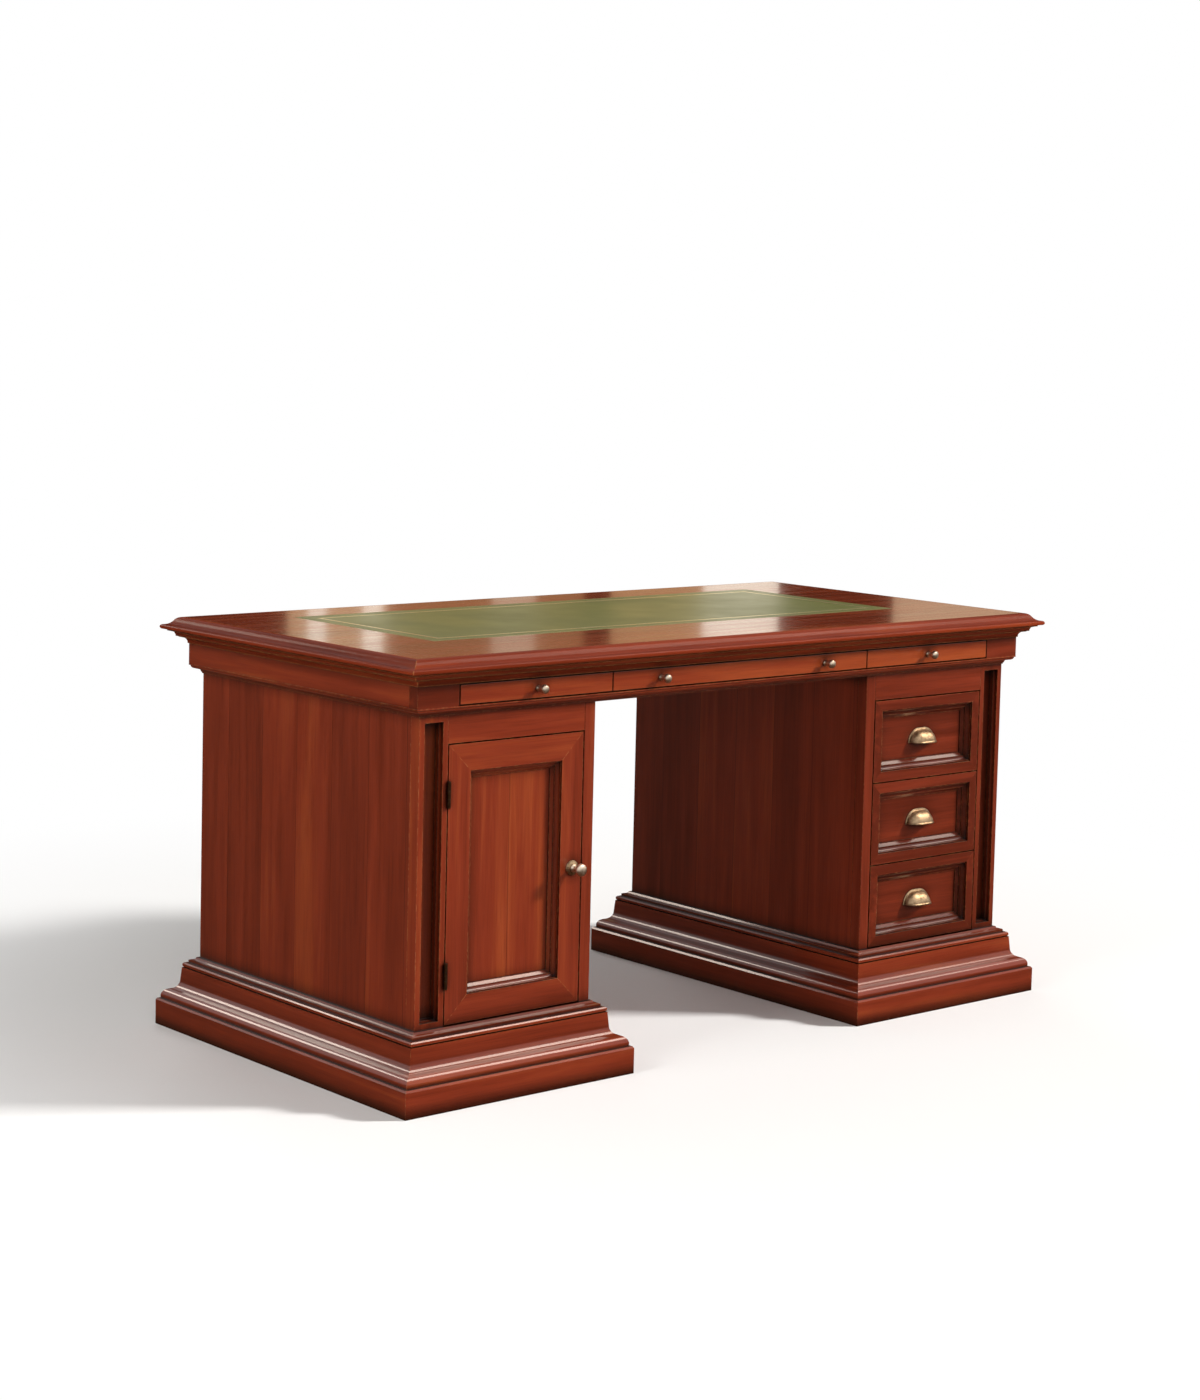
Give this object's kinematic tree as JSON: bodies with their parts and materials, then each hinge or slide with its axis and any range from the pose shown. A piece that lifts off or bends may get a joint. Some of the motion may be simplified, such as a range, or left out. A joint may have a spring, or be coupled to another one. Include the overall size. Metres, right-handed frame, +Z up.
{
  "type": "pedestal desk",
  "caption": "Twin-pedestal writing desk in polished wood with a leather-lined top, frieze drawers, a cupboard pedestal, a drawer pedestal and heavy moulded plinths.",
  "frame": {"origin": "on the floor below the middle of the top", "axes": "+X to the sitter's right along the desk, +Y away from the sitter, +Z up"},
  "size_m": [1.6, 0.8, 0.78],
  "materials": {
    "polished_wood": "stained and polished",
    "drawer_wood": "plain, waxed",
    "green_leather": "polished, gilt border",
    "antique_brass": "aged"
  },
  "bodies": {
    "desk": {"top_board": "polished_wood", "top_edge_moulding": "polished_wood", "leather_inset": "green_leather", "frieze_ends": "polished_wood", "frieze_back": "polished_wood", "frieze_corner_stiles": "polished_wood", "frieze_partitions": "drawer_wood", "frieze_dust_board": "polished_wood", "frieze_base_moulding": "polished_wood", "left_outer_side": "polished_wood", "left_inner_side": "polished_wood", "left_back": "polished_wood", "left_front_rail": "polished_wood", "left_pilaster": "polished_wood", "left_inner_stile": "polished_wood", "left_plinth": "polished_wood", "right_outer_side": "polished_wood", "right_inner_side": "polished_wood", "right_back": "polished_wood", "right_front_rail": "polished_wood", "right_pilaster": "polished_wood", "right_inner_stile": "polished_wood", "right_plinth": "polished_wood", "pedestal_floors": "polished_wood", "pedestal_head_boards": "polished_wood", "locating_pegs": "polished_wood", "frieze_drawer_stops": "drawer_wood", "hinge_case_leaves": "antique_brass", "hinge_pins": "antique_brass", "left_shelf": "polished_wood", "shelf_pins": "antique_brass", "right_drawer_runners": "drawer_wood"},
    "door": {"door_stiles": "polished_wood", "door_rails": "polished_wood", "door_panel": "polished_wood", "door_rosette": "antique_brass", "hinge_door_leaves": "antique_brass"},
    "knob": {"door_knob": "antique_brass", "latch_tongue": "antique_brass"},
    "upper_drawer": {"upper_drawer_frame": "polished_wood", "upper_drawer_panel": "polished_wood", "upper_drawer_box": "drawer_wood", "upper_drawer_pull": "antique_brass"},
    "middle_drawer": {"middle_drawer_frame": "polished_wood", "middle_drawer_panel": "polished_wood", "middle_drawer_box": "drawer_wood", "middle_drawer_pull": "antique_brass"},
    "lower_drawer": {"lower_drawer_frame": "polished_wood", "lower_drawer_panel": "polished_wood", "lower_drawer_box": "drawer_wood", "lower_drawer_pull": "antique_brass"},
    "left_frieze_drawer": {"left_frieze_drawer_front": "polished_wood", "left_frieze_drawer_box": "drawer_wood", "left_frieze_drawer_knobs": "antique_brass"},
    "centre_frieze_drawer": {"centre_frieze_drawer_front": "polished_wood", "centre_frieze_drawer_box": "drawer_wood", "centre_frieze_drawer_knobs": "antique_brass"},
    "right_frieze_drawer": {"right_frieze_drawer_front": "polished_wood", "right_frieze_drawer_box": "drawer_wood", "right_frieze_drawer_knobs": "antique_brass"}
  },
  "joints": [
    {"name": "door_hinge", "type": "hinge", "parent": "desk", "child": "door", "pos_m": [-0.6768, -0.3435, 0.378], "axis": [0, 0, -1], "range_deg": [0, 110]},
    {"name": "knob_turn", "type": "hinge", "parent": "door", "child": "knob", "pos_m": [-0.3944, -0.34, 0.378], "axis": [0, -1, 0], "range_deg": [0, 90]},
    {"name": "upper_drawer_slide", "type": "slide", "parent": "desk", "child": "upper_drawer", "axis": [0, -1, 0], "range_m": [0, 0.46]},
    {"name": "middle_drawer_slide", "type": "slide", "parent": "desk", "child": "middle_drawer", "axis": [0, -1, 0], "range_m": [0, 0.46]},
    {"name": "lower_drawer_slide", "type": "slide", "parent": "desk", "child": "lower_drawer", "axis": [0, -1, 0], "range_m": [0, 0.46]},
    {"name": "left_frieze_drawer_slide", "type": "slide", "parent": "desk", "child": "left_frieze_drawer", "axis": [0, -1, 0], "range_m": [0, 0.31]},
    {"name": "centre_frieze_drawer_slide", "type": "slide", "parent": "desk", "child": "centre_frieze_drawer", "axis": [0, -1, 0], "range_m": [0, 0.31]},
    {"name": "right_frieze_drawer_slide", "type": "slide", "parent": "desk", "child": "right_frieze_drawer", "axis": [0, -1, 0], "range_m": [0, 0.31]}
  ]
}
